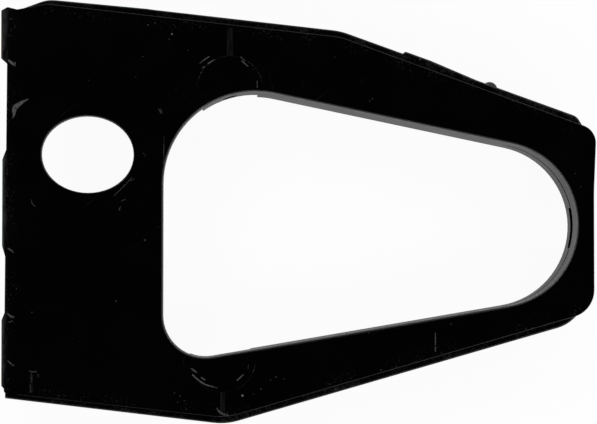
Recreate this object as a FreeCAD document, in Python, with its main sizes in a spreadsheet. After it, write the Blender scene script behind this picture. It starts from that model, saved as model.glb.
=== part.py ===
import FreeCAD, Part
import math
import os
import re

import Sketcher

# Chain slider of a motorbike swingarm, moulded in one piece of hard black plastic.
# It lies on its open back. X runs from the broad end to the nose, Y from the lower chain run to
# the upper one, and Z from the back rim up to the outer face. The origin is under its middle.

# Driving sizes in millimetres, angles in degrees: name, value, what it measures.
SIZES = [
    ("length", 250.4, "tab ends to nose"),
    ("height", 178.4, "lower rub strip to upper rub strip"),
    ("depth", 29.8, "back rim to the raised marks on the face"),
    ("plate_thickness", 5.0, "side plate"),
    ("relief", 0.3, "raised marks above the face"),
    ("left_margin", 2.75, "plate edge in from the tab ends, upper end"),
    ("left_margin_low", 1.75, "plate edge in from the tab ends, lower end"),
    ("plate_width", 68.1, "tab ends to the opening"),
    ("face_edge_radius", 0.4, "rounding round the face"),
    ("shoulder_drop", 2.6, "rub strips below the face"),
    ("shoulder_root", 2.2, "rub strips beyond the plate at the broad end"),
    ("shoulder_nose", 2.85, "rub strips beyond the plate on the slopes"),
    ("strip_edge_radius", 0.9, "rounding along the rub strips"),
    ("rub_wall", 6.5, "wall that carries the chain"),
    ("rim_wall", 4.0, "wall round the opening"),
    ("rim_lap", 2.0, "rim runs in behind the bosses"),
    ("nose_wall", 7.2, "wall at the nose"),
    ("nose_waist", 1.1, "nose edge in from its upper corner"),
    ("waist_drop", 25.8, "straight part of the nose edge below its upper corner"),
    ("upper_nose_drop", 54.7, "upper nose corner below the top"),
    ("lower_nose_rise", 47.5, "lower nose corner above the bottom"),
    ("upper_nose_radius", 7.8, "upper nose corner"),
    ("lower_nose_radius", 11.8, "lower nose corner"),
    ("waist_radius", 120.0, "bend in the nose edge"),
    ("plate_corner_radius", 1.4, "corners at the broad end"),
    ("ramp_start", 7.0, "upper strip in from the tab ends"),
    ("ramp_run", 12.3, "length of the lead-in ramp"),
    ("ramp_rise", 4.6, "height of the lead-in ramp"),
    ("ramp_radius", 14.0, "top of the lead-in ramp"),
    ("worn_start", 61.1, "where the chain has worn the strip down"),
    ("worn_run", 2.9, "length of the worn step"),
    ("worn_start_drop", 3.8, "unworn strip there, below the top"),
    ("worn_step", 0.4, "fall of the worn step"),
    ("upper_kink_inset", 107.8, "bend of the upper strip in from the nose"),
    ("upper_kink_drop", 12.9, "bend of the upper strip below the top"),
    ("kink_radius", 26.0, "bend of both strips"),
    ("ridge_inset", 81.6, "ridge of displaced plastic in from the nose"),
    ("ridge_front", 1.3, "steep front of the ridge"),
    ("ridge_crest", 12.0, "crest of the ridge"),
    ("ridge_tail", 19.0, "run-out of the ridge"),
    ("ridge_height", 1.25, "ridge above the strip"),
    ("upper_end_inset", 7.9, "end of the upper strip in from the nose"),
    ("upper_end_stand", 3.15, "end of the upper strip above the plate edge"),
    ("upper_end_radius", 5.0, "end of the upper strip"),
    ("upper_tail_inset", 4.6, "upper strip runs out in from the nose"),
    ("upper_tail_sink", 0.96, "upper strip runs out below the plate edge"),
    ("lower_left_rise", 11.0, "lower strip at the broad end above the bottom"),
    ("lower_start_inset", 0.4, "lower strip in from the plate edge"),
    ("lower_kink_run", 94.5, "bend of the lower strip from the tab ends"),
    ("lower_end_inset", 11.4, "end of the lower strip in from the nose"),
    ("lower_end_stand", 2.81, "end of the lower strip below the plate edge"),
    ("lower_end_radius", 16.0, "end of the lower strip"),
    ("lower_tail_inset", 5.3, "lower strip runs out in from the nose"),
    ("lower_tail_sink", 1.13, "lower strip runs out above the plate edge"),
    ("upper_arm_root", 27.1, "plate edge to opening, upper arm, broad end"),
    ("lower_arm_root", 24.4, "plate edge to opening, lower arm, broad end"),
    ("upper_arm_nose", 20.6, "plate edge to opening, upper arm, near the nose"),
    ("lower_arm_nose", 13.8, "plate edge to opening, lower arm, near the nose"),
    ("arm_station", 42.6, "where the arms are measured, in from the nose"),
    ("upper_corner_radius", 38.6, "opening, upper corner"),
    ("lower_corner_radius", 17.6, "opening, lower corner"),
    ("hollow_radius", 6.0, "corners of the back hollow at the nose"),
    ("hole_run", 36.35, "oval hole from the tab ends"),
    ("hole_drop", 65.35, "oval hole below the top"),
    ("hole_long", 38.55, "oval hole, long way"),
    ("hole_short", 32.25, "oval hole, short way"),
    ("hole_turn", 1.8, "oval hole's tilt"),
    ("hole_edge_radius", 0.6, "rounding round the oval hole"),
    ("boss_radius", 13.9, "half-moon bosses at the opening"),
    ("boss_depth", 12.5, "bosses and pillars behind the plate"),
    ("boss_edge", 0.24, "bevel round the raised bosses"),
    ("upper_boss_inset", 27.8, "upper boss from the opening's straight side"),
    ("lower_boss_inset", 24.9, "lower boss from the opening's straight side"),
    ("pillar_width", 12.0, "pillar that the screw runs through"),
    ("screw_drop", 6.5, "screw holes behind the plate"),
    ("screw_radius", 3.25, "screw holes"),
    ("screw_head_radius", 5.75, "screw head recess"),
    ("screw_head_depth", 3.2, "screw head recess"),
    ("upper_mark_width", 3.7, "raised mark over the upper screw"),
    ("lower_mark_width", 2.5, "raised mark over the lower screw"),
    ("corner_mark_width", 1.9, "raised mark at the lower corner"),
    ("corner_mark_run", 13.2, "corner mark from the tab ends"),
    ("corner_mark_length", 7.6, "corner mark"),
    ("mark_gap", 1.4, "marks in from the plate edge"),
    ("tab_slope", 5.0, "sloping upper sides of the middle and lower tabs"),
    ("tab_end_slope", 2.5, "steep lower sides of the upper and lower tabs"),
    ("middle_tab_slope", 6.5, "long lower side of the middle tab"),
    ("tab_fall", 1.3, "tops of the tabs fall towards the plate"),
    ("tab_drop", 0.5, "tabs below the face"),
    ("tab_edge_radius", 1.0, "rounding along the tabs"),
    ("tab_land", 0.05, "least flat beside that rounding"),
    ("upper_tab_start", 3.6, "upper tab below the top"),
    ("upper_tab_length", 23.9, "upper tab"),
    ("middle_tab_start", 62.6, "middle tab below the top"),
    ("middle_tab_length", 47.5, "middle tab"),
    ("middle_tab_inset", 0.7, "middle tab in from the upper one"),
    ("lower_tab_rise", 13.9, "lower tab above the bottom"),
    ("lower_tab_length", 34.7, "lower tab"),
    ("lower_tab_inset", 0.6, "lower tab in from the upper one"),
    ("groove_level", 14.6, "groove inside the nose above the back rim"),
    ("groove_width", 2.2, "groove inside the nose"),
    ("groove_depth", 0.8, "groove inside the nose"),
    ("slot_level", 12.2, "pocket inside the nose above the back rim"),
    ("slot_width", 7.4, "pocket inside the nose"),
    ("slot_length", 17.2, "pocket inside the nose"),
    ("slot_depth", 3.4, "pocket inside the nose"),
    ("slot_drop", 1.0, "middle of the pocket below the middle of the nose"),
    ("slot_radius", 1.5, "corners of the pocket"),
    ("nub_inset", 44.2, "nub on the upper strip in from the nose"),
    ("nub_radius", 3.4, "nub on the upper strip"),
    ("nub_height", 2.0, "nub above the strip"),
    ("nub_drop", 6.9, "nub below the rub strip's shoulder"),
]
NAMES = {name for name, _, _ in SIZES}

# Levels in Z.
FACE = "(depth - relief)"
PLATE_BACK = f"({FACE} - plate_thickness)"
SHOULDER = f"({FACE} - shoulder_drop)"
BOSS_BACK = f"({PLATE_BACK} - boss_depth)"
SCREW_LEVEL = f"({PLATE_BACK} - screw_drop)"

# Limits in X and Y.
LEFT = "(-length / 2)"
RIGHT = "(length / 2)"
TOP = "(height / 2)"
BOTTOM = "(-height / 2)"
UPPER_EDGE_X = f"({LEFT} + left_margin)"
LOWER_EDGE_X = f"({LEFT} + left_margin_low)"
OPENING_X = f"({LEFT} + plate_width)"
NOSE_X = f"({RIGHT} - nose_waist)"
RAMP_X = f"({LEFT} + ramp_start + ramp_run)"
UPPER_KINK_X = f"({RIGHT} - upper_kink_inset)"
LOWER_KINK_X = f"({LEFT} + lower_kink_run)"
UPPER_BOSS_X = f"({OPENING_X} + upper_boss_inset)"
LOWER_BOSS_X = f"({OPENING_X} + lower_boss_inset)"
UPPER_END_X = f"({RIGHT} - upper_end_inset)"
UPPER_TAIL_X = f"({RIGHT} - upper_tail_inset)"
LOWER_END_X = f"({NOSE_X} - lower_end_inset)"
LOWER_TAIL_X = f"({NOSE_X} - lower_tail_inset)"
STATION_X = f"({RIGHT} - arm_station)"

FLAT = 1e-6


def along(x, start, end):
    """Height at x of the straight line between two points."""
    rise = f"({end[1]} - {start[1]}) / ({end[0]} - {start[0]})"
    return f"({start[1]} + ({x} - {start[0]}) * {rise})"


# Corners of the plate's edge, before rounding.
PLATE_RAMP = (RAMP_X, f"({TOP} - shoulder_root)")
PLATE_UPPER_KINK = (UPPER_KINK_X, f"({TOP} - upper_kink_drop - shoulder_nose)")
PLATE_UPPER_NOSE = (RIGHT, f"({TOP} - upper_nose_drop)")
PLATE_LOWER_NOSE = (NOSE_X, f"({BOTTOM} + lower_nose_rise)")
PLATE_LOWER_KINK = (LOWER_KINK_X, f"({BOTTOM} + shoulder_nose)")
PLATE_LOWER_LEFT = (LOWER_EDGE_X, f"({BOTTOM} + lower_left_rise + shoulder_root)")


def upper_plate_edge(x):
    return along(x, PLATE_RAMP, PLATE_UPPER_KINK)


def lower_plate_edge(x):
    return along(x, PLATE_LOWER_LEFT, PLATE_LOWER_KINK)


def upper_plate_slope(x):
    return along(x, PLATE_UPPER_KINK, PLATE_UPPER_NOSE)


def lower_plate_slope(x):
    return along(x, PLATE_LOWER_KINK, PLATE_LOWER_NOSE)


# Corners of the rub strips, before rounding.
STRIP_WORN = (f"({LEFT} + worn_start + worn_run)", f"({TOP} - worn_start_drop - worn_step)")
STRIP_UPPER_KINK = (UPPER_KINK_X, f"({TOP} - upper_kink_drop)")
STRIP_UPPER_END = (UPPER_END_X, f"({upper_plate_slope(UPPER_END_X)} + upper_end_stand)")
STRIP_UPPER_TAIL = (UPPER_TAIL_X, f"({upper_plate_slope(UPPER_TAIL_X)} - upper_tail_sink)")
STRIP_LOWER_LEFT = (f"({LOWER_EDGE_X} + lower_start_inset)", f"({BOTTOM} + lower_left_rise)")
STRIP_LOWER_KINK = (LOWER_KINK_X, BOTTOM)
STRIP_LOWER_END = (LOWER_END_X, f"({lower_plate_slope(LOWER_END_X)} - lower_end_stand)")
STRIP_LOWER_TAIL = (LOWER_TAIL_X, f"({lower_plate_slope(LOWER_TAIL_X)} + lower_tail_sink)")


def upper_slope(x):
    """The sloping part of the upper strip, without its ridge."""
    return along(x, STRIP_UPPER_KINK, STRIP_UPPER_END)


# The opening is three circles and their common tangents: centre X, centre Y, radius.
UPPER_CORNER_X = f"({OPENING_X} + upper_corner_radius)"
LOWER_CORNER_X = f"({OPENING_X} + lower_corner_radius)"
OPENING_TOP = f"({upper_plate_edge(UPPER_CORNER_X)} - upper_arm_root)"
OPENING_BOTTOM = f"({lower_plate_edge(LOWER_CORNER_X)} + lower_arm_root)"
NOSE_UPPER = f"({upper_plate_slope(STATION_X)} - upper_arm_nose)"
NOSE_LOWER = f"({lower_plate_slope(STATION_X)} + lower_arm_nose)"
NOSE_RADIUS = f"(({NOSE_UPPER} - {NOSE_LOWER}) / 2)"
NOSE_CENTRE_X = f"({NOSE_X} - nose_wall - {NOSE_RADIUS})"
NOSE_CENTRE_Y = f"(({NOSE_UPPER} + {NOSE_LOWER}) / 2)"
OPENING = [
    (UPPER_CORNER_X, f"({OPENING_TOP} - upper_corner_radius)", "upper_corner_radius"),
    (LOWER_CORNER_X, f"({OPENING_BOTTOM} + lower_corner_radius)", "lower_corner_radius"),
    (NOSE_CENTRE_X, NOSE_CENTRE_Y, NOSE_RADIUS),
]
UPPER_BOSS_Y = f"({upper_plate_edge(UPPER_BOSS_X)} - upper_arm_root)"
LOWER_BOSS_Y = f"({lower_plate_edge(LOWER_BOSS_X)} + lower_arm_root)"

doc = FreeCAD.newDocument("chain_slider")
sheet = doc.addObject("Spreadsheet::Sheet", "Sizes")
for row, (name, size, note) in enumerate(SIZES, start=1):
    sheet.set(f"A{row}", name)
    sheet.set(f"B{row}", str(size))
    sheet.set(f"C{row}", note)
    sheet.setAlias(f"B{row}", name)
doc.recompute()

body = doc.addObject("PartDesign::Body", "chain_slider")
body.Label = "chain_slider"
doc.recompute()


def bound(text):
    """The expression with each size's name turned into its cell."""
    return re.sub(r"[a-z_]+", lambda word: f"Sizes.{word[0]}" if word[0] in NAMES else word[0], text)


def value(text):
    return float(sheet.evalExpression(text))


def settle(feature):
    """Recompute, and stop at a feature that failed."""
    doc.recompute()
    if "Invalid" in feature.State or "Error" in feature.State:
        raise RuntimeError(f"{feature.Label} failed: {feature.getStatusString()}")
    return feature


def new_sketch(name, role, offset="0"):
    """An empty sketch on one of the body's planes, moved along the plane's normal."""
    sketch = body.newObject("Sketcher::SketchObject", name)
    plane = next(item for item in body.Origin.OriginFeatures if item.Role == role)
    sketch.AttachmentSupport = [(plane, "")]
    sketch.MapMode = "FlatFace"
    sketch.setExpression("AttachmentOffset.Base.z", bound(offset))
    doc.recompute()
    return sketch


def constrain(sketch, rules):
    """Add constraints, each with the expression that drives it, or None."""
    numbers = sketch.addConstraint([rule for rule, _ in rules])
    for number, (_, text) in zip(numbers, rules):
        if text is not None:
            sketch.setExpression(f"Constraints[{number}]", bound(text))


def place(geometry, vertex, x, y):
    return [
        (Sketcher.Constraint("DistanceX", geometry, vertex, value(x)), x),
        (Sketcher.Constraint("DistanceY", geometry, vertex, value(y)), y),
    ]


def arc_between(centre, radius, first, last):
    start = math.atan2(first.y - centre.y, first.x - centre.x)
    end = math.atan2(last.y - centre.y, last.x - centre.x)
    circle = Part.Circle(centre, FreeCAD.Vector(0, 0, 1), radius)
    return Part.ArcOfCircle(circle, start, end)


def add_outline(sketch, corners):
    """A closed outline through corners (x, y) or (x, y, radius), counter-clockwise."""
    points = [FreeCAD.Vector(value(corner[0]), value(corner[1]), 0) for corner in corners]
    count = len(corners)
    before, after, arcs = [], [], {}
    for index, corner in enumerate(corners):
        back = (points[index - 1] - points[index]).normalize()
        ahead = (points[(index + 1) % count] - points[index]).normalize()
        radius = value(corner[2]) if len(corner) > 2 else 0.0
        half = back.getAngle(ahead) / 2
        reach = radius / math.tan(half)
        before.append(points[index] + back * reach)
        after.append(points[index] + ahead * reach)
        if radius:
            centre = points[index] + (back + ahead).normalize() * (radius / math.sin(half))
            left_turn = back.cross(ahead).z < 0
            ends = (before[-1], after[-1]) if left_turn else (after[-1], before[-1])
            arcs[index] = (arc_between(centre, radius, *ends), left_turn)
    sides = [
        sketch.addGeometry(Part.LineSegment(after[index], before[(index + 1) % count]), False)
        for index in range(count)
    ]
    rules = []
    for index, corner in enumerate(corners):
        arriving, leaving = sides[index - 1], sides[index]
        if index not in arcs:
            rules.append((Sketcher.Constraint("Coincident", arriving, 2, leaving, 1), None))
            rules += place(leaving, 1, corner[0], corner[1])
            continue
        arc, left_turn = arcs[index]
        first, last = (1, 2) if left_turn else (2, 1)
        number = sketch.addGeometry(arc, False)
        mark = sketch.addGeometry(Part.Point(points[index]), True)
        rules += [
            (Sketcher.Constraint("Tangent", arriving, 2, number, first), None),
            (Sketcher.Constraint("Tangent", number, last, leaving, 1), None),
            (Sketcher.Constraint("PointOnObject", mark, 1, arriving), None),
            (Sketcher.Constraint("PointOnObject", mark, 1, leaving), None),
            (Sketcher.Constraint("Radius", number, value(corner[2])), corner[2]),
        ]
        rules += place(mark, 1, corner[0], corner[1])
    constrain(sketch, rules)


def add_hull(sketch, circles):
    """The outline round circles (x, y, radius), counter-clockwise, with tangents between them."""
    centres = [FreeCAD.Vector(value(circle[0]), value(circle[1]), 0) for circle in circles]
    radii = [value(circle[2]) for circle in circles]
    count = len(circles)
    normals = []
    for index in range(count):
        following = (index + 1) % count
        way = centres[following] - centres[index]
        lean = (radii[index] - radii[following]) / way.Length
        way.normalize()
        across = FreeCAD.Vector(way.y, -way.x, 0)
        normals.append(across * math.sqrt(1 - lean * lean) + way * lean)
    rules, sides, arcs = [], [], []
    for index in range(count):
        following = (index + 1) % count
        start = centres[index] + normals[index] * radii[index]
        end = centres[following] + normals[index] * radii[following]
        sides.append(sketch.addGeometry(Part.LineSegment(start, end), False))
    for index in range(count):
        first = centres[index] + normals[index - 1] * radii[index]
        last = centres[index] + normals[index] * radii[index]
        arcs.append(sketch.addGeometry(arc_between(centres[index], radii[index], first, last), False))
    for index, circle in enumerate(circles):
        rules += [
            (Sketcher.Constraint("Tangent", sides[index - 1], 2, arcs[index], 1), None),
            (Sketcher.Constraint("Tangent", arcs[index], 2, sides[index], 1), None),
            (Sketcher.Constraint("Radius", arcs[index], radii[index]), circle[2]),
        ]
        rules += place(arcs[index], 3, circle[0], circle[1])
    constrain(sketch, rules)


def add_circle(sketch, x, y, radius):
    centre = FreeCAD.Vector(value(x), value(y), 0)
    number = sketch.addGeometry(Part.Circle(centre, FreeCAD.Vector(0, 0, 1), value(radius)), False)
    rules = place(number, 3, x, y)
    rules.append((Sketcher.Constraint("Radius", number, value(radius)), radius))
    constrain(sketch, rules)


def pad(sketch, name, length):
    feature = body.newObject("PartDesign::Pad", name)
    feature.Profile = sketch
    feature.Refine = False
    feature.setExpression("Length", bound(length))
    return settle(feature)


def pocket(sketch, name, length=None, forward=False):
    """Cut along the sketch's normal (forward) or against it, right through without a length."""
    volume = body.Shape.Volume
    feature = body.newObject("PartDesign::Pocket", name)
    feature.Profile = sketch
    feature.Refine = False
    feature.Reversed = forward
    if length is None:
        feature.Type = "ThroughAll"
    else:
        feature.setExpression("Length", bound(length))
    settle(feature)
    if body.Shape.Volume > volume - FLAT:
        raise RuntimeError(f"{name} cuts nothing")
    return feature


def round_edges(name, edges, radius):
    base = body.Tip
    feature = body.newObject("PartDesign::Fillet", name)
    feature.Base = (base, edges)
    feature.setExpression("Radius", bound(radius))
    return settle(feature)


def brow_edges(level, wanted=lambda edge: True):
    """Names of the wanted edges at a level that no face next to them rises above."""
    shape = body.Shape
    height = value(level)
    names = []
    for number, edge in enumerate(shape.Edges, start=1):
        box = edge.BoundBox
        if abs(box.ZMin - height) > FLAT or abs(box.ZMax - height) > FLAT or not wanted(edge):
            continue
        faces = shape.ancestorsOfType(edge, Part.Face)
        if all(face.BoundBox.ZMax < height + FLAT for face in faces):
            names.append(f"Edge{number}")
    return names


def side_plate():
    sketch = new_sketch("plate_outline", "XY_Plane")
    add_outline(sketch, [
        (UPPER_EDGE_X, f"({TOP} - ramp_rise)", "plate_corner_radius"),
        (*PLATE_LOWER_LEFT, "plate_corner_radius"),
        (*PLATE_LOWER_KINK, "kink_radius"),
        (*PLATE_LOWER_NOSE, "lower_nose_radius"),
        (NOSE_X, f"({PLATE_UPPER_NOSE[1]} - waist_drop)", "waist_radius"),
        (*PLATE_UPPER_NOSE, "upper_nose_radius"),
        (*PLATE_UPPER_KINK, "kink_radius"),
        PLATE_RAMP,
        (f"({LEFT} + ramp_start)", f"({TOP} - ramp_rise)"),
    ])
    pad(sketch, "plate_block", FACE)
    round_edges("face_rounding", brow_edges(FACE), "face_edge_radius")


def rub_strips():
    ridge_x = f"({RIGHT} - ridge_inset)"
    front_x = f"({ridge_x} + ridge_front)"
    crest_x = f"({ridge_x} + ridge_crest)"
    tail_x = f"({crest_x} + ridge_tail)"
    upper = new_sketch("upper_strip_outline", "XY_Plane")
    add_outline(upper, [
        STRIP_UPPER_TAIL,
        (*STRIP_UPPER_END, "upper_end_radius"),
        (tail_x, upper_slope(tail_x), "kink_radius"),
        (crest_x, f"({upper_slope(crest_x)} + ridge_height)", "kink_radius"),
        (front_x, f"({upper_slope(front_x)} + ridge_height)"),
        (ridge_x, upper_slope(ridge_x)),
        (*STRIP_UPPER_KINK, "kink_radius"),
        STRIP_WORN,
        (f"({LEFT} + worn_start)", f"({TOP} - worn_start_drop)"),
        (RAMP_X, TOP, "ramp_radius"),
        (f"({LEFT} + ramp_start)", f"({TOP} - ramp_rise)"),
        (RAMP_X, f"({TOP} - rub_wall)"),
        (UPPER_KINK_X, f"({TOP} - upper_kink_drop - rub_wall)"),
        (STRIP_UPPER_END[0], f"({STRIP_UPPER_END[1]} - rub_wall)"),
    ])
    pad(upper, "upper_strip", SHOULDER)
    lower = new_sketch("lower_strip_outline", "XY_Plane")
    add_outline(lower, [
        STRIP_LOWER_LEFT,
        (*STRIP_LOWER_KINK, "kink_radius"),
        (*STRIP_LOWER_END, "lower_end_radius"),
        STRIP_LOWER_TAIL,
        (STRIP_LOWER_END[0], f"({STRIP_LOWER_END[1]} + rub_wall)"),
        (LOWER_KINK_X, f"({BOTTOM} + rub_wall)"),
        (STRIP_LOWER_LEFT[0], f"({BOTTOM} + lower_left_rise + rub_wall)"),
    ])
    pad(lower, "lower_strip", SHOULDER)
    brow = brow_edges(SHOULDER, lambda edge: edge.BoundBox.XLength > FLAT)
    round_edges("strip_rounding", brow, "strip_edge_radius")


def edge_tabs():
    """Three low tabs on the broad end. The upper one starts steeply at the plate's corner."""
    root = f"({UPPER_EDGE_X} + plate_thickness)"
    top = f"({FACE} - tab_drop)"
    upper_y = f"({TOP} - upper_tab_start)"
    middle_y = f"({TOP} - middle_tab_start)"
    lower_y = f"({BOTTOM} + lower_tab_rise + lower_tab_length)"
    tabs = {
        "upper_tab": ("0", upper_y, "upper_tab_length", "plate_corner_radius", "tab_end_slope"),
        "middle_tab": ("middle_tab_inset", middle_y, "middle_tab_length", "tab_slope", "middle_tab_slope"),
        "lower_tab": ("lower_tab_inset", lower_y, "lower_tab_length", "tab_slope", "tab_end_slope"),
    }
    for name, (inset, start_y, run, lead, tail) in tabs.items():
        end_x = f"({LEFT} + {inset})"
        sketch = new_sketch(f"{name}_outline", "XY_Plane", PLATE_BACK)
        add_outline(sketch, [
            (UPPER_EDGE_X, start_y),
            (end_x, f"({start_y} - {lead})"),
            (end_x, f"({start_y} - {run} + {tail})"),
            (UPPER_EDGE_X, f"({start_y} - {run})"),
            (root, f"({start_y} - {run})"),
            (root, f"({start_y} - tab_fall)"),
        ])
        pad(sketch, name, f"({top} - {PLATE_BACK})")
        end = value(end_x)
        brow = brow_edges(top, lambda edge: abs(edge.BoundBox.XMax - end) < FLAT)
        ledge = f"(left_margin_low - {inset} - tab_land)"
        round_edges(f"{name}_rounding", brow, f"min(tab_edge_radius; {ledge})")


def back_hollow():
    inner_x = f"({NOSE_X} - nose_wall)"
    mouth_x = f"({LEFT} - left_margin)"
    wall = "(rub_wall - shoulder_nose)"
    sketch = new_sketch("hollow_outline", "XY_Plane")
    add_outline(sketch, [
        (mouth_x, f"({TOP} - rub_wall)"),
        (mouth_x, f"({BOTTOM} + lower_left_rise + rub_wall)"),
        (LOWER_KINK_X, f"({BOTTOM} + rub_wall)"),
        (inner_x, f"({PLATE_LOWER_NOSE[1]} + {wall})", "hollow_radius"),
        (inner_x, f"({PLATE_UPPER_NOSE[1]} - {wall})", "hollow_radius"),
        (UPPER_KINK_X, f"({TOP} - upper_kink_drop - rub_wall)"),
        (RAMP_X, f"({TOP} - rub_wall)"),
    ])
    pocket(sketch, "hollow", PLATE_BACK, forward=True)


def rim_and_bosses():
    """Full-depth rim from the bosses to the nose, then the bosses and the screw pillars."""
    rim = new_sketch("rim_outline", "XY_Plane")
    add_hull(rim, [(x, y, f"({radius} + rim_wall)") for x, y, radius in OPENING])
    pad(rim, "rim", PLATE_BACK)
    mouth_x = f"({LEFT} - left_margin)"
    upper_x = f"({UPPER_BOSS_X} + boss_radius - rim_lap)"
    lower_x = f"({LOWER_BOSS_X} + boss_radius - rim_lap)"
    past_rim = "(2 * rim_wall)"
    upper_y = f"({OPENING_TOP} + {past_rim})"
    lower_y = f"({OPENING_BOTTOM} - {past_rim})"
    passage = new_sketch("passage_outline", "XY_Plane")
    add_outline(passage, [
        (mouth_x, upper_y),
        (mouth_x, lower_y),
        (lower_x, lower_y),
        (lower_x, NOSE_CENTRE_Y),
        (upper_x, NOSE_CENTRE_Y),
        (upper_x, upper_y),
    ])
    pocket(passage, "passage", PLATE_BACK, forward=True)
    pillars = {
        "upper": (UPPER_BOSS_X, UPPER_BOSS_Y, f"({upper_plate_edge(UPPER_BOSS_X)} - shoulder_root)"),
        "lower": (LOWER_BOSS_X, f"({lower_plate_edge(LOWER_BOSS_X)} + shoulder_root)", LOWER_BOSS_Y),
    }
    for name, (x, low, high) in pillars.items():
        left = f"({x} - pillar_width / 2)"
        right = f"({x} + pillar_width / 2)"
        sketch = new_sketch(f"{name}_pillar_outline", "XY_Plane", BOSS_BACK)
        add_outline(sketch, [(left, high), (left, low), (right, low), (right, high)])
        pad(sketch, f"{name}_pillar", "boss_depth")
    for name, x, y in (("upper", UPPER_BOSS_X, UPPER_BOSS_Y), ("lower", LOWER_BOSS_X, LOWER_BOSS_Y)):
        sketch = new_sketch(f"{name}_boss_outline", "XY_Plane", BOSS_BACK)
        add_circle(sketch, x, y, "boss_radius")
        pad(sketch, f"{name}_boss", f"(depth - {BOSS_BACK})")
    round_edges("boss_rounding", brow_edges("depth"), "boss_edge")


def openings():
    opening = new_sketch("opening_outline", "XY_Plane")
    add_hull(opening, OPENING)
    pocket(opening, "opening", forward=True)
    hole = new_sketch("hole_outline", "XY_Plane")
    x, y = f"({LEFT} + hole_run)", f"({TOP} - hole_drop)"
    centre = FreeCAD.Vector(value(x), value(y), 0)
    turn = math.radians(value("hole_turn"))
    long_way = FreeCAD.Vector(math.cos(turn), -math.sin(turn), 0)
    short_way = FreeCAD.Vector(math.sin(turn), math.cos(turn), 0)
    ellipse = Part.Ellipse(
        centre + long_way * (value("hole_long") / 2),
        centre + short_way * (value("hole_short") / 2),
        centre,
    )
    number = hole.addGeometry(ellipse, False)
    hole.exposeInternalGeometry(number)
    long_axis, short_axis = number + 1, number + 2
    rules = place(number, 3, x, y)
    rules += [
        (Sketcher.Constraint("Distance", long_axis, value("hole_long")), "hole_long"),
        (Sketcher.Constraint("Distance", short_axis, value("hole_short")), "hole_short"),
    ]
    axis = hole.Geometry[long_axis]
    lean = "(-hole_turn)" if axis.EndPoint.x > axis.StartPoint.x else "(180 - hole_turn)"
    rules.append((Sketcher.Constraint("Angle", long_axis, math.radians(value(lean))), f"{lean} * 1deg"))
    constrain(hole, rules)
    pocket(hole, "hole", forward=True)
    brow = brow_edges(FACE, lambda edge: edge.isClosed())
    round_edges("hole_rounding", brow, "hole_edge_radius")


def screw_holes():
    screws = {
        "upper": (UPPER_BOSS_X, True),
        "lower": (LOWER_BOSS_X, False),
    }
    for name, (x, upward) in screws.items():
        sketch = new_sketch(f"{name}_screw_outline", "XZ_Plane")
        add_circle(sketch, x, SCREW_LEVEL, "screw_radius")
        pocket(sketch, f"{name}_screw_hole", forward=not upward)
        if upward:
            seat = f"({along(x, STRIP_WORN, STRIP_UPPER_KINK)} - screw_head_depth)"
        else:
            seat = f"({along(x, STRIP_LOWER_LEFT, STRIP_LOWER_KINK)} + screw_head_depth)"
        head = new_sketch(f"{name}_head_outline", "XZ_Plane", f"-{seat}")
        add_circle(head, x, SCREW_LEVEL, "screw_head_radius")
        pocket(head, f"{name}_head_recess", forward=not upward)


def nose_pocket():
    groove = new_sketch("groove_outline", "XY_Plane", "(groove_level - groove_width / 2)")
    add_circle(groove, f"({NOSE_CENTRE_X} + groove_depth)", NOSE_CENTRE_Y, NOSE_RADIUS)
    pocket(groove, "nose_groove", "groove_width", forward=True)
    start = f"({NOSE_X} - nose_wall - slot_length / 2)"
    slot = new_sketch("slot_outline", "YZ_Plane", start)
    low, high = "(slot_level - slot_width / 2)", "(slot_level + slot_width / 2)"
    left = f"({NOSE_CENTRE_Y} - slot_drop - slot_length / 2)"
    right = f"({NOSE_CENTRE_Y} - slot_drop + slot_length / 2)"
    add_outline(slot, [
        (left, low, "slot_radius"),
        (right, low, "slot_radius"),
        (right, high, "slot_radius"),
        (left, high, "slot_radius"),
    ])
    pocket(slot, "nose_slot", "(slot_length / 2 + slot_depth)", forward=True)


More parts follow.
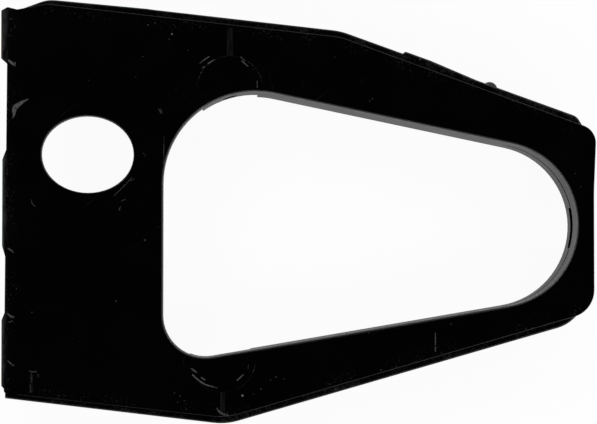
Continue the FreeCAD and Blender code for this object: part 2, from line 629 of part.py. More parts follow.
def face_marks():
    """Low round-backed marks on the face, each run from its upper end towards -Y."""
    marks = {
        "upper_mark": (UPPER_BOSS_X, f"({upper_plate_edge(UPPER_BOSS_X)} - mark_gap)",
                       "(upper_arm_root - boss_radius - mark_gap + relief)", "upper_mark_width"),
        "lower_mark": (LOWER_BOSS_X, f"({LOWER_BOSS_Y} - boss_radius + relief)",
                       "(lower_arm_root - boss_radius - mark_gap + relief)", "lower_mark_width"),
        "corner_mark": (f"({LEFT} + corner_mark_run)",
                        f"({lower_plate_edge(f'({LEFT} + corner_mark_run)')} + mark_gap"
                        f" + corner_mark_length)", "corner_mark_length", "corner_mark_width"),
    }
    bed = f"({FACE} - plate_thickness / 2)"
    for name, (x, start_y, run, width) in marks.items():
        sketch = new_sketch(f"{name}_outline", "XZ_Plane", f"-{start_y}")
        left, right = f"({x} - {width} / 2)", f"({x} + {width} / 2)"
        bulge = f"(({width} ^ 2 / 4 + relief ^ 2) / (2 * relief))"
        corners = [
            FreeCAD.Vector(value(left), value(FACE), 0),
            FreeCAD.Vector(value(left), value(bed), 0),
            FreeCAD.Vector(value(right), value(bed), 0),
            FreeCAD.Vector(value(right), value(FACE), 0),
        ]
        sides = [
            sketch.addGeometry(Part.LineSegment(first, last), False)
            for first, last in zip(corners, corners[1:])
        ]
        centre = FreeCAD.Vector(value(x), value("depth") - value(bulge), 0)
        back = sketch.addGeometry(arc_between(centre, value(bulge), corners[3], corners[0]), False)
        rules = [
            (Sketcher.Constraint("Coincident", sides[0], 2, sides[1], 1), None),
            (Sketcher.Constraint("Coincident", sides[1], 2, sides[2], 1), None),
            (Sketcher.Constraint("Coincident", sides[2], 2, back, 1), None),
            (Sketcher.Constraint("Coincident", back, 2, sides[0], 1), None),
            (Sketcher.Constraint("Radius", back, value(bulge)), bulge),
        ]
        rules += place(sides[0], 1, left, FACE)
        rules += place(sides[1], 1, left, bed)
        rules += place(sides[2], 1, right, bed)
        rules += place(sides[2], 2, right, FACE)
        constrain(sketch, rules)
        pad(sketch, name, run)


def strip_nub():
    x = f"({RIGHT} - nub_inset)"
    nub = body.newObject("PartDesign::AdditiveSphere", "nub")
    plane = next(item for item in body.Origin.OriginFeatures if item.Role == "XY_Plane")
    nub.AttachmentSupport = [(plane, "")]
    nub.MapMode = "FlatFace"
    nub.setExpression("Radius", bound("nub_radius"))
    nub.setExpression("AttachmentOffset.Base.x", bound(x))
    nub.setExpression("AttachmentOffset.Base.y", bound(f"{upper_slope(x)} + nub_height - nub_radius"))
    nub.setExpression("AttachmentOffset.Base.z", bound(f"{SHOULDER} - nub_drop"))
    doc.recompute()


side_plate()
rub_strips()
edge_tabs()
back_hollow()
rim_and_bosses()
openings()
screw_holes()
nose_pocket()
face_marks()
strip_nub()

for item in doc.Objects:
    if "Invalid" in item.State or "Error" in item.State:
        raise RuntimeError(f"{item.Label} failed: {item.State}")
shape = body.Shape
if shape.isNull() or not shape.isValid() or len(shape.Solids) != 1:
    raise RuntimeError("the slider isn't one valid solid")
box = shape.BoundBox
print(f"chain_slider {box.XLength:.2f} x {box.YLength:.2f} x {box.ZLength:.2f} mm,"
      f" {shape.Volume / 1000:.1f} cm3")
print(f"X {box.XMin:.2f} {box.XMax:.2f}  Y {box.YMin:.2f} {box.YMax:.2f}"
      f"  Z {box.ZMin:.2f} {box.ZMax:.2f}")

os.makedirs("parts", exist_ok=True)
shape.exportStep(f"parts/{body.Label}.step")
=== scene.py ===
import contextlib
import math

import bpy
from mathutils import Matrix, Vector


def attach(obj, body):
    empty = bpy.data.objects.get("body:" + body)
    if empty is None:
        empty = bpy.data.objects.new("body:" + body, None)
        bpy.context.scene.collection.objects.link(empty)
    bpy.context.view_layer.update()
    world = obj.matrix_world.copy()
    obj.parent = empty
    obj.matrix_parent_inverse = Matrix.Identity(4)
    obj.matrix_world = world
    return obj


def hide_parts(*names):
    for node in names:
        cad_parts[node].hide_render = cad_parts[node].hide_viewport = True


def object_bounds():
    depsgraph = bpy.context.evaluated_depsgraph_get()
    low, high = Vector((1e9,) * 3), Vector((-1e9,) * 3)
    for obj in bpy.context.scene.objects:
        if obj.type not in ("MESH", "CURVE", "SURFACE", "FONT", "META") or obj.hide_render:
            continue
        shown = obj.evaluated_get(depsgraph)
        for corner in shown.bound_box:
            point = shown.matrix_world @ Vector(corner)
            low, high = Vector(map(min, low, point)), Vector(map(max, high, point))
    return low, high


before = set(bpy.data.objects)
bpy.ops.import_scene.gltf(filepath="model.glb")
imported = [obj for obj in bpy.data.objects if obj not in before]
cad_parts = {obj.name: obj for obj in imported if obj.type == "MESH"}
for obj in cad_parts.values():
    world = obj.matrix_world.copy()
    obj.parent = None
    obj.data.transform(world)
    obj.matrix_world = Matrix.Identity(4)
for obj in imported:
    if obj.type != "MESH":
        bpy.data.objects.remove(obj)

bl_info = {
    "name": "Chain slider",
    "version": (1, 0, 0),
    "blender": (4, 5, 0),
    "location": "View3D > Sidebar > Chain slider",
    "description": "Finishes a moulded chain slider and sets up the table that it lies on",
    "category": "Object",
}

NODE = "chain_slider"
BODY = "root"
CAD_LOW, CAD_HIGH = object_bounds()

MM = 0.001
TINY = 0.02 * MM
WHITE = (1.0, 1.0, 1.0, 1.0)

# Heights on the solid: the face under its raised marks, the tabs, the shoulders of the rub strips, and the
# part of the plate that the wear at the tabs doesn't reach.
MARK_HEIGHT = 0.3 * MM
FACE_Z = CAD_HIGH.z - MARK_HEIGHT
TAB_Z = FACE_Z - 0.5 * MM
SHOULDER_Z = FACE_Z - 2.6 * MM
PLATE_CORE_Z = FACE_Z - 4.0 * MM

# Places on the solid, seen from above.
OPENING_MIDDLE = Vector((0.010, -0.005))
OPENING_LEFT = -60.0 * MM
BOSSES = (Vector((-0.0293, 0.0515)), Vector((-0.0322, -0.0618)))
BOSS_RADIUS = 13.9 * MM
TAB_LENGTH = 2.75 * MM
# The ends of a boss at the opening lie no further out than this past its middle.
BOSS_END_REACH = 2.0 * MM
# The rubbed sides of the strips are further than this from the middle line.
STRIP_START = 30.0 * MM
# Worn edges go down to this depth below the shoulders.
WORN_EDGE_DEPTH = 1.5 * MM
# Rays that look for the face start this far above it.
CLEAR_ABOVE = 10.0 * MM

# A wall of the opening is at least this high, and a step round a mark or a boss at most that high.
WALL_HEIGHT = 1.5 * MM
STEP_HEIGHT = 0.6 * MM

# How far up a face looks, from 0 for a wall to 1 for a flat top: limits of walls, tops and rounded edges.
UPRIGHT = 0.3
WALL_UPWARD = 0.25
LOOKS_UP = 0.6
FLAT_TOP = 0.9
WORN_EDGE_UPWARD = (0.15, 0.97)
ROUNDED_UPWARD = (0.05, 0.99)
# How far along Y a rubbed side of the strips looks.
LOOKS_OUT = 0.6

# Straight stretches of the plate's outline: outward direction in degrees, distance from the origin in mm.
PLATE_SIDES = ((83.73, 74.9), (70.14, 75.0), (-96.18, 89.15), (-73.91, 74.45), (180.0, 122.9))
# The same for the sides of the large opening, each pointing away from it.
OPENING_SIDES = ((77.87, 45.4), (-79.64, 53.5), (180.0, 57.1), (0.0, 116.9))
# The same for the line where the tabs start.
TAB_SIDE = (180.0, 121.5)

# Scuffs on the face, in mm: how grey they are, then points with a width.
SCUFFS = (
    (0.55, ((-113.7, 46.9, 0.3), (-117.0, 45.3, 1.3), (-119.6, 43.0, 1.8), (-119.4, 40.6, 0.7),
            (-120.0, 38.9, 0.2))),
    (0.60, ((-122.1, 63.4, 0.6), (-120.7, 62.1, 1.0), (-119.1, 60.9, 0.5))),
    (0.35, ((-119.4, 62.6, 0.2), (-118.9, 61.6, 0.5), (-119.3, 60.6, 0.3))),
    (0.30, ((-77.8, 6.4, 0.15), (-73.2, 10.8, 0.32), (-70.3, 14.1, 0.15))),
    (0.22, ((-70.9, 12.7, 0.2), (-69.1, 13.6, 0.2))),
    (0.25, ((-74.7, 4.2, 0.25), (-73.0, 5.0, 0.25))),
    (0.30, ((-74.9, 2.1, 0.3), (-75.6, 0.4, 0.3))),
    (0.25, ((-112.2, 4.8, 0.25), (-112.0, 2.2, 0.25), (-110.4, 2.1, 0.25))),
    (0.25, ((-59.2, 43.1, 0.25), (-58.1, 41.0, 0.4))),
    (0.25, ((-58.5, 43.2, 0.2), (-57.6, 41.3, 0.3))),
    (0.30, ((-56.9, 31.5, 0.1), (-56.8, 25.0, 0.3), (-57.1, 20.0, 0.3))),
    (0.45, ((-42.0, 62.2, 0.25), (-39.9, 63.8, 0.5), (-37.8, 65.1, 0.25))),
    (0.45, ((-38.6, 62.0, 0.45), (-37.0, 63.0, 0.55), (-35.6, 63.8, 0.2))),
    (0.35, ((-40.9, 60.1, 0.4), (-39.9, 60.9, 0.4))),
    (0.40, ((-24.8, 64.9, 0.35), (-22.9, 63.2, 0.25))),
    (0.50, ((-24.4, 63.3, 0.3), (-23.0, 62.1, 0.55), (-21.6, 60.9, 0.2))),
    (0.50, ((-45.5, -65.6, 0.25), (-44.1, -66.6, 0.6), (-42.7, -67.5, 0.3))),
    (0.50, ((-44.8, -68.2, 0.6), (-43.3, -69.8, 0.45), (-40.0, -72.2, 0.5), (-37.6, -73.0, 0.4),
            (-34.4, -73.8, 0.3))),
    (0.45, ((-41.2, -69.4, 0.4), (-39.4, -70.6, 0.4))),
    (0.55, ((-26.1, -70.6, 0.5), (-24.8, -69.5, 0.45), (-23.4, -68.2, 0.2))),
    (0.20, ((-21.6, -65.9, 0.2), (-21.4, -64.2, 0.2))),
    (0.40, ((57.0, -50.8, 0.3), (57.0, -58.8, 0.35))),
    (0.35, ((-122.0, -15.4, 0.4), (-120.4, -16.4, 0.8), (-119.6, -17.3, 0.3))),
    (0.45, ((-122.0, -42.6, 0.4), (-120.6, -44.4, 0.9), (-119.2, -44.2, 0.5))),
    (0.30, ((-121.4, -46.4, 0.3), (-119.8, -45.8, 0.3))),
    (0.35, ((-121.9, -62.4, 0.3), (-120.4, -63.7, 0.6), (-119.3, -64.6, 0.3))),
    (0.35, ((-17.9, 54.9, 0.35), (-17.8, 51.9, 0.3))),
    (0.40, ((-34.6, -82.2, 0.3), (-33.4, -84.9, 0.9), (-29.8, -85.2, 0.5))),
    (0.30, ((-112.9, -66.6, 0.3), (-111.4, -67.3, 0.45), (-109.6, -66.9, 0.3))),
    (0.22, ((-111.9, -67.6, 0.3), (-111.6, -69.6, 0.4), (-112.0, -71.4, 0.2))),
    (0.25, ((-109.2, -67.8, 0.35), (-109.0, -69.4, 0.25))),
    (0.18, ((-112.4, -72.4, 0.35), (-112.1, -75.6, 0.3))),
)

# Flecks on the face: how grey they are, then place in mm and direction in degrees.
FLECKS = (
    (0.45, -63.6, 78.3, -25.0),
    (0.25, -54.8, 72.2, 70.0),
    (0.30, -65.8, 65.0, 10.0),
    (0.25, -46.9, 67.6, 120.0),
    (0.30, -68.8, 56.3, 0.0),
    (0.20, -65.4, 24.2, 60.0),
    (0.20, -64.7, 23.4, 150.0),
    (0.25, -52.3, -76.0, 40.0),
    (0.35, -49.9, -77.2, 130.0),
    (0.25, -48.1, -79.1, 20.0),
    (0.20, -51.0, -79.8, 80.0),
    (0.35, -9.8, -69.3, 10.0),
    (0.25, -6.4, -70.1, 160.0),
    (0.35, -16.1, -74.2, 55.0),
    (0.25, -19.4, -76.3, 100.0),
    (0.25, -12.2, -70.6, 35.0),
    (0.20, 116.3, 16.2, 80.0),
    (0.20, 118.4, 10.6, 20.0),
    (0.20, 29.5, 46.6, 60.0),
    (0.25, 30.6, 47.4, 110.0),
    (0.20, 14.8, 65.0, 0.0),
)

# Even patterns in the plastic: cells a metre and detail.
HAZE = (45.0, 4.0)
FINE = (850.0, 3.0)
NICKS = (1400.0, 2.0)
GRAIN = (2600.0, 2.0)
# Even patterns that set in between two levels: cells a metre, detail and the levels.
BROKEN = (260.0, 5.0, 0.40, 0.62)
PATCHES = (75.0, 3.0, 0.42, 0.60)
LEDGE_WEAR = (900.0, 4.0, 0.40, 0.66)
WIPED_AREAS = (32.0, 2.0, 0.50, 0.66)
# Drawn-out patterns: cells a metre along X, Y and Z, turn in degrees, detail and the levels.
TAB_WEAR = ((800.0, 160.0, 200.0), 0.0, 4.0, 0.35, 0.7)
BRUSHED = ((900.0, 120.0, 200.0), 0.0, 3.0, 0.3, 0.7)
STREAKS = ((8.0, 900.0, 900.0), 0.0, 3.0, 0.35, 0.7)
HAIRS = ((40.0, 1500.0, 40.0), 38.0, 2.0, 0.68, 0.74)
CROSS_HAIRS = ((1300.0, 30.0, 30.0), 12.0, 2.0, 0.70, 0.76)

# Where wear sets in and where it is full, past the plate's sides, the opening's sides and the tabs' start.
NEAR_SIDE = (-9.0 * MM, -0.5 * MM)
ON_LEDGE = (0.0, 0.8 * MM)
NEAR_OPENING = (6.0 * MM, 0.5 * MM)
ON_TABS = (0.0, 3.0 * MM)
# Handling round the opening, as a share of the handling along the plate's sides.
OPENING_HANDLING = 0.35

# Levels of the fine pattern that make speckles and torn plastic.
SPECKLE_LEVELS = (0.54, 0.70)
TORN_LEVELS = (0.25, 0.55)
# How far the opening's rounding has turned away from the face where its painted sheen sets in and where it
# is full.
BROW_SHEEN_LEVELS = (0.0, 0.6)

# Dust specks: cells a metre, size and soft edge as shares of a cell, the chance of one and its strength, and
# what handling adds to the chance.
SPECK_CELLS = 170.0
SPECK_SIZE = (0.03, 0.085)
SPECK_EDGE = (0.02, -0.01)
SPECK_CHANCE = (0.80, 0.86)
SPECK_STRENGTH = (0.15, 0.8)
HANDLED_CHANCE = 0.25

# How strongly each kind of wear greys the plastic, and how strongly the painted sheen greys the raised ribs.
HAZE_GREY = 0.01
WIPED_GREY = 0.25
SPECKLE_GREY = 0.5
TAB_GREY = 0.95
LEDGE_GREY = (0.12, 0.55)
EDGE_GREY = 0.18
# Painted sheen on the tops of the raised ribs.
RIB_SHEEN_GREY = (0.06, 0.34)
STREAK_GREY = 0.35

# How much the roughness wanders, and the roughness of worn edges and of torn plastic and dust.
FACE_WANDER = 0.05
WALL_WANDER = 0.06
EDGE_ROUGHNESS = (0.5, 0.28)
TORN_ROUGHNESS = 0.8

# Fine relief: shares of the grain, the streaks, the nicks and the torn plastic, then strength and depth.
GRAIN_RELIEF = 0.25
STREAK_RELIEF = 0.6
NICK_RELIEF = 2.0
TORN_RELIEF = 1.5
RELIEF_STRENGTH = 0.35
RELIEF_DEPTH = 0.12 * MM


def length(name, description, default):
    """A property in metres. The next ones are a share, an angle, a whole number, a number and a colour."""
    return bpy.props.FloatProperty(
        name=name, description=description, default=default, unit="LENGTH", precision=5)


def amount(name, description, default):
    return bpy.props.FloatProperty(
        name=name, description=description, default=default, subtype="FACTOR", min=0.0, max=1.0, precision=4)


def angle(name, description, degrees):
    return bpy.props.FloatProperty(
        name=name, description=description, default=math.radians(degrees), unit="ROTATION")


def count(name, description, default):
    return bpy.props.IntProperty(name=name, description=description, default=default, min=1)


def number(name, description, default, unit="NONE"):
    return bpy.props.FloatProperty(name=name, description=description, default=default, unit=unit)


def colour(name, description, default):
    return bpy.props.FloatVectorProperty(
        name=name, description=description, default=default, subtype="COLOR", size=3, min=0.0, max=1.0,
        precision=4)


class SliderMoulding(bpy.types.PropertyGroup):
    """The moulded body's small edges and its plastic."""

    weld: length("Weld", "Vertices closer than this are one", 0.002 * MM)
    flat_angle: angle("Flat angle", "Faces that turn less than this are one flat face", 0.2)
    sharp_angle: angle("Sharp angle", "Edges that turn more than this are sharp", 38.0)
    smooth_angle: angle("Smooth angle", "Edges that turn less than this are shaded smooth", 32.0)
    arris: length("Arris", "Rounding that the mould leaves on a sharp edge", 0.14 * MM)
    arris_strips: count("Arris strips", "Strips across the rounding of a sharp edge", 2)
    opening_round: length("Opening rounding", "Rounding along the face edge of the large opening", 1.15 * MM)
    opening_strips: count("Opening strips", "Strips across the rounding of the opening", 5)
    opening_join: length("Opening join", "Corners of the opening's edge closer than this are one", 0.6 * MM)
    boss_trim: length("Boss trim", "Corners this close to a boss's outline go onto it", 1.0 * MM)
    mark_wear: length("Mark wear", "Wear off the top of the raised marks and bosses", 0.25 * MM)
    end_fall: length("End fall", "Length over which the face falls off towards the tabs", 6.0 * MM)
    fall_cuts: count("Fall cuts", "Cuts across the part of the face that falls off", 8)
    fall_spacing: length("Fall spacing", "Distance from cut to cut", 1.0 * MM)
    plastic: colour("Plastic", "Black of the moulded plastic", (0.0002, 0.0002, 0.00025))
    # This grey is also the painted sheen on the tops of the raised ribs.
    scuffed: colour("Scuffed plastic", "Grey where the plastic is scuffed", (0.022, 0.022, 0.023))
    # This grey is also the painted sheen along the rounding of the opening.
    torn_grey_and_sheen: colour("Raw plastic", "Grey where the plastic is torn up", (0.11, 0.11, 0.108))
    dust: colour("Dust", "Specks of dust on the plastic", (0.10, 0.098, 0.095))
    gloss: amount("Gloss", "Specular level of the plastic", 0.2)
    roughness: amount("Roughness", "Roughness of the moulded face", 0.21)
    wall_roughness: amount("Wall roughness", "Roughness of the upright walls", 0.5)
    polish: amount("Rubbed roughness", "Roughness where the chain has rubbed", 0.22)


class SliderScuffs(bpy.types.PropertyGroup):
    """Torn-up plastic along the scuffs."""

    flatness: amount("Flatness", "Height of a scuff as a share of its width", 0.1)
    spread: number("Spread", "Times the width of every scuff", 1.3)
    fleck_length: length("Fleck length", "Length of a fleck", 0.55 * MM)
    fleck_width: length("Fleck width", "Width of a fleck", 0.32 * MM)
    order: count("Order", "Highest order of a scuff's curve", 3)
    resolution: count("Resolution", "Steps of a scuff's curve from knot to knot", 6)
    roundness: count("Roundness", "Steps of a scuff's round section", 1)


class SliderStage(bpy.types.PropertyGroup):
    """Camera, light, floor and backdrop."""

    camera_x: length("Camera X", "Camera to the broad end's side of the middle", -33.8 * MM)
    camera_y: length("Camera Y", "Camera below the middle", -33.5 * MM)
    camera_z: length("Camera height", "Camera above the floor", 1076.2 * MM)
    camera_pitch: angle("Camera pitch", "Turn of the camera towards the upper strip", 1.8203)
    camera_yaw: angle("Camera yaw", "Turn of the camera towards the nose", 1.8246)
    camera_roll: angle("Camera roll", "Turn of the camera about its line of sight", 0.0142)
    lens: number("Lens", "Focal length", 150.67, unit="CAMERA")
    sensor: number("Sensor", "Width of the sensor", 36.0, unit="CAMERA")
    view_end: length("View end", "Furthest that the camera sees", 100.0)
    floor_size: length("Floor", "Side of the floor", 14.0)
    wall_radius: length("Backdrop radius", "Backdrop from the middle of the floor", 6.0)
    wall_height: length("Backdrop height", "Backdrop above the floor", 1.0)
    wall_sides: count("Backdrop sides", "Sides of the round backdrop", 96)
    white: colour("Floor colour", "Paper of the floor and the backdrop", (0.9, 0.9, 0.9))
    white_share: amount("White share", "Share of the floor's white that carries no shadow", 0.94)
    lamps: count("Lamps", "Lamps round the table", 4)
    first_lamp: angle("First lamp", "Direction of the first lamp", 45.0)
    lamp_distance: length("Lamp distance", "Lamps from the middle", 1.5)
    lamp_height: length("Lamp height", "Lamps above the floor", 1.0)
    lamp_size: length("Lamp size", "Side of each square lamp", 0.9)
    lamp_power: number("Lamp power", "Power of each lamp", 13.0, unit="POWER")
    band_level: number("Band level", "Level of the bright walls of the room", 0.35)
    band_top: angle("Band top", "Height of the bright walls above the horizon", 40.0)
    band_fade: angle("Band fade", "Height over which the bright walls fade into the dark ceiling", 14.0)
    ceiling: amount("Ceiling", "Level of the dark ceiling", 0.005)


def start_clean(context):
    """Leave edit mode and deselect everything."""
    if context.object is not None and context.object.mode != "OBJECT":
        bpy.ops.object.mode_set(mode="OBJECT")
    bpy.ops.object.select_all(action="DESELECT")


@contextlib.contextmanager
def edit_mode():
    """Edit the active mesh, and come back to object mode."""
    bpy.ops.object.mode_set(mode="EDIT")
    yield
    bpy.ops.object.mode_set(mode="OBJECT")


def pick(context, *pieces):
    """Select the pieces, the first of them as the active one."""
    start_clean(context)
    for piece in pieces:
        piece.select_set(True)
    context.view_layer.objects.active = pieces[0]


def dress(piece, material):
    """The piece gets its material and rides on the body."""
    piece.data.materials.clear()
    piece.data.materials.append(material)
    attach(piece, BODY)


class Nodes:
    """Short way to write a node tree."""

    def __init__(self, owner):
        owner.use_nodes = True
        self.tree = owner.node_tree
        self.tree.nodes.clear()

    def add(self, kind, inputs=(), **settings):
        node = self.tree.nodes.new(kind)
        for name, setting in settings.items():
            setattr(node, name, setting)
        for name, source in dict(inputs).items():
            self.feed(node.inputs[name], source)
        return node

    def feed(self, socket, source):
        if isinstance(source, bpy.types.NodeSocket):
            self.tree.links.new(source, socket)
        else:
            socket.default_value = source

    def maths(self, operation, first, second):
        return self.add("ShaderNodeMath", {0: first, 1: second}, operation=operation).outputs[0]

    def product(self, first, *others):
        for other in others:
            first = self.maths("MULTIPLY", first, other)
        return first

    def mix(self, factor, first, second):
        """Number between two numbers."""
        return self.add("ShaderNodeMix", {0: factor, 2: first, 3: second}, data_type="FLOAT").outputs[0]

    def blend(self, factor, first, second):
        """Colour between two colours."""
        return self.add("ShaderNodeMix", {0: factor, 6: first, 7: second}, data_type="RGBA").outputs[2]

    def ramp(self, source, low, high):
        """0 at low, 1 at high, smooth between."""
        inputs = {0: source, 1: low, 2: high}
        return self.add("ShaderNodeMapRange", inputs, interpolation_type="SMOOTHSTEP").outputs[0]

    def place(self, scale=(1.0, 1.0, 1.0), turn=0.0):
        """Where a point is, turned about Z and then scaled."""
        coordinates = self.add("ShaderNodeTexCoord").outputs["Object"]
        cell = tuple(1.0 / along for along in scale)
        inputs = {"Vector": coordinates, "Rotation": (0.0, 0.0, turn), "Scale": cell}
        return self.add("ShaderNodeMapping", inputs, vector_type="TEXTURE").outputs[0]

    def noise(self, where, scale, detail):
        inputs = {"Vector": where, "Scale": scale, "Detail": detail}
        return self.add("ShaderNodeTexNoise", inputs).outputs[0]

    def pattern(self, where, scale, detail, low, high):
        """Noise that sets in between two levels."""
        return self.ramp(self.noise(where, scale, detail), low, high)

    def drawn_out(self, cells, degrees, detail, low, high):
        """The same, with its own number of cells along each direction."""
        return self.pattern(self.place(cells, math.radians(degrees)), 1.0, detail, low, high)

    def attribute(self, name):
        return self.add("ShaderNodeAttribute", attribute_name=name).outputs["Fac"]

    def beyond(self, where, direction, distance):
        """How far a point lies past a straight side, in metres."""
        outward = (math.cos(math.radians(direction)), math.sin(math.radians(direction)), 0.0)
        along = self.add("ShaderNodeVectorMath", {0: where, 1: outward}, operation="DOT_PRODUCT")
        return self.maths("SUBTRACT", along.outputs["Value"], distance * MM)

    def outermost(self, where, sides):
        """How far a point lies past the outline that the sides make."""
        past = self.beyond(where, *sides[0])
        for side in sides[1:]:
            past = self.maths("MAXIMUM", past, self.beyond(where, *side))
        return past


def opaque(rgb):
    """The colour with full cover."""
    return (*rgb, 1.0)


def moulded_plastic(look):
    """Black moulded plastic: fine grain, handling haze, dust specks, worn edges and rubbed strips, with a
    painted sheen on the opening's rounding and on the raised ribs.
    """
    material = bpy.data.materials.new("moulded_plastic")
    nodes = Nodes(material)
    here = nodes.place()
    edge = nodes.attribute("worn_edge")
    brow_sheen = nodes.attribute("opening_brow_sheen")
    rubbed = nodes.attribute("rubbed")
    wall = nodes.attribute("wall")
    mark = nodes.attribute("mark")
    torn = nodes.attribute("scuffed")
    upward = nodes.attribute("upward")

    haze = nodes.noise(here, *HAZE)
    fine = nodes.noise(here, *FINE)
    nicks = nodes.noise(here, *NICKS)
    broken = nodes.pattern(here, *BROKEN)
    patches = nodes.pattern(here, *PATCHES)
    brushed = nodes.drawn_out(*BRUSHED)
    streaks = nodes.drawn_out(*STREAKS)
    worn = nodes.product(edge, broken)

    past_side = nodes.outermost(here, PLATE_SIDES)
    near_side = nodes.ramp(past_side, *NEAR_SIDE)
    ledge = nodes.product(nodes.ramp(past_side, *ON_LEDGE), nodes.pattern(here, *LEDGE_WEAR), upward)
    near_opening = nodes.ramp(nodes.outermost(here, OPENING_SIDES), *NEAR_OPENING)
    handled = nodes.maths("MAXIMUM", near_side, nodes.product(near_opening, OPENING_HANDLING))
    often_handled = nodes.product(handled, handled)
    speckle = nodes.product(nodes.ramp(fine, *SPECKLE_LEVELS), often_handled, patches, upward)
    tabs = nodes.product(nodes.ramp(nodes.beyond(here, *TAB_SIDE), *ON_TABS), upward)
    tabs = nodes.product(tabs, nodes.drawn_out(*TAB_WEAR))
    wiped = nodes.maths("MAXIMUM", nodes.drawn_out(*HAIRS), nodes.drawn_out(*CROSS_HAIRS))
    wiped = nodes.product(wiped, nodes.pattern(here, *WIPED_AREAS), upward)

    cells = nodes.add("ShaderNodeTexVoronoi", {"Vector": here, "Scale": SPECK_CELLS}, feature="F1")
    chance = nodes.add("ShaderNodeSeparateXYZ", {0: cells.outputs["Color"]})
    size = nodes.mix(chance.outputs["Y"], *SPECK_SIZE)
    dots = nodes.ramp(nodes.maths("SUBTRACT", cells.outputs["Distance"], size), *SPECK_EDGE)
    odds = nodes.maths("ADD", chance.outputs["X"], nodes.product(handled, HANDLED_CHANCE))
    kept = nodes.ramp(odds, *SPECK_CHANCE)
    strength = nodes.mix(chance.outputs["Z"], *SPECK_STRENGTH)
    specks = nodes.product(dots, kept, upward, strength)

    scuffed = opaque(look.scuffed)
    torn_grey_and_sheen = opaque(look.torn_grey_and_sheen)
    tone = nodes.blend(nodes.product(haze, HAZE_GREY), opaque(look.plastic), scuffed)
    tone = nodes.blend(nodes.product(wiped, WIPED_GREY), tone, scuffed)
    tone = nodes.blend(nodes.product(speckle, SPECKLE_GREY), tone, scuffed)
    tone = nodes.blend(nodes.product(tabs, TAB_GREY), tone, scuffed)
    tone = nodes.blend(nodes.product(ledge, nodes.mix(patches, *LEDGE_GREY)), tone, scuffed)
    tone = nodes.blend(nodes.product(worn, EDGE_GREY), tone, scuffed)
    # Painted sheen: the opening's rounding turns grey the further it leans towards the wall.
    tone = nodes.blend(nodes.ramp(brow_sheen, *BROW_SHEEN_LEVELS), tone, torn_grey_and_sheen)
    # Painted sheen: the tops of the raised ribs turn grey, broken up by brushed streaks.
    tone = nodes.blend(nodes.product(mark, nodes.mix(brushed, *RIB_SHEEN_GREY)), tone, scuffed)
    tone = nodes.blend(nodes.product(rubbed, streaks, STREAK_GREY), tone, scuffed)
    tone = nodes.blend(nodes.product(torn, nodes.ramp(fine, *TORN_LEVELS)), tone, torn_grey_and_sheen)
    tone = nodes.blend(specks, tone, opaque(look.dust))

    skin = nodes.mix(haze, look.roughness - FACE_WANDER, look.roughness + FACE_WANDER)
    wall_skin = nodes.mix(haze, look.wall_roughness - WALL_WANDER, look.wall_roughness + WALL_WANDER)
    skin = nodes.mix(wall, skin, wall_skin)
    skin = nodes.mix(edge, skin, nodes.mix(broken, *EDGE_ROUGHNESS))
    skin = nodes.mix(nodes.product(rubbed, streaks), skin, look.polish)
    skin = nodes.mix(nodes.maths("MAXIMUM", specks, torn), skin, TORN_ROUGHNESS)

    relief = nodes.product(nodes.noise(here, *GRAIN), GRAIN_RELIEF)
    relief = nodes.maths("ADD", relief, nodes.product(streaks, rubbed, STREAK_RELIEF))
    relief = nodes.maths("ADD", relief, nodes.product(edge, nicks, NICK_RELIEF))
    relief = nodes.maths("ADD", relief, nodes.product(torn, fine, TORN_RELIEF))
    bump = nodes.add("ShaderNodeBump", {
        "Strength": RELIEF_STRENGTH,
        "Distance": RELIEF_DEPTH,
        "Height": relief,
    })

    surface = nodes.add("ShaderNodeBsdfPrincipled", {
        "Base Color": tone,
        "Roughness": skin,
        "Normal": bump.outputs[0],
        "Specular IOR Level": look.gloss,
    })
    nodes.add("ShaderNodeOutputMaterial", {"Surface": surface.outputs[0]})
    return material


def face_values(piece, name, value):
    """Write one number on every face."""
    numbers = [float(value(face.center, face.normal)) for face in piece.data.polygons]
    layer = piece.data.attributes.new(name, "FLOAT", "FACE")
    layer.data.foreach_set("value", numbers)


def face_sides(mesh):
    """The faces on both sides of every edge."""
    sides = {edge.key: [] for edge in mesh.edges}
    for face in mesh.polygons:
        for key in face.edge_keys:
            sides[key].append(face)
    return sides


def wall_below(mesh, faces):
    """The upright face beside an edge, with its height, or nothing."""
    for face in faces:
        if abs(face.normal.z) < UPRIGHT:
            heights = [mesh.vertices[index].co.z for index in face.vertices]
            return face, max(heights) - min(heights)
    return None, 0.0


def opening_edge(mesh, ends, faces):
    """An edge between the face and the wall of the large opening."""
    face, height = wall_below(mesh, faces)
    on_top = all(mesh.vertices[index].co.z > FACE_Z - TINY for index in ends)
    if face is None or height < WALL_HEIGHT or not on_top:
        return False
    return face.normal.xy.dot(OPENING_MIDDLE - face.center.xy) > 0.0


def plain_edge(mesh, _ends, faces):
    """Any edge but the low steps round the raised marks and bosses."""
    face, height = wall_below(mesh, faces)
    return face is None or height > STEP_HEIGHT or face.center.z < FACE_Z


def round_edges(piece, sharpness, width, strips, wanted, clamp):
    """Round the sharp edges that are wanted. Clamp keeps the roundings of near edges apart."""
    mesh = piece.data
    with edit_mode():
        bpy.ops.mesh.select_mode(type="EDGE")
        bpy.ops.mesh.select_all(action="DESELECT")
        bpy.ops.mesh.edges_select_sharp(sharpness=sharpness)
    sides = face_sides(mesh)
    chosen = [edge.select and wanted(mesh, edge.key, sides[edge.key]) for edge in mesh.edges]
    if not any(chosen):
        raise RuntimeError(f"no sharp edge passes {wanted.__name__}")
    mesh.polygons.foreach_set("select", [False] * len(mesh.polygons))
    mesh.vertices.foreach_set("select", [False] * len(mesh.vertices))
    mesh.edges.foreach_set("select", chosen)
    with edit_mode():
        bpy.ops.mesh.bevel(offset=width, segments=strips, affect="EDGES", clamp_overlap=clamp)


def wear_marks(piece, wear):
    """Wear the raised marks and bosses down towards the face."""
    for vertex in piece.data.vertices:
        if vertex.co.z > FACE_Z:
            vertex.co.z -= wear * (vertex.co.z - FACE_Z) / MARK_HEIGHT


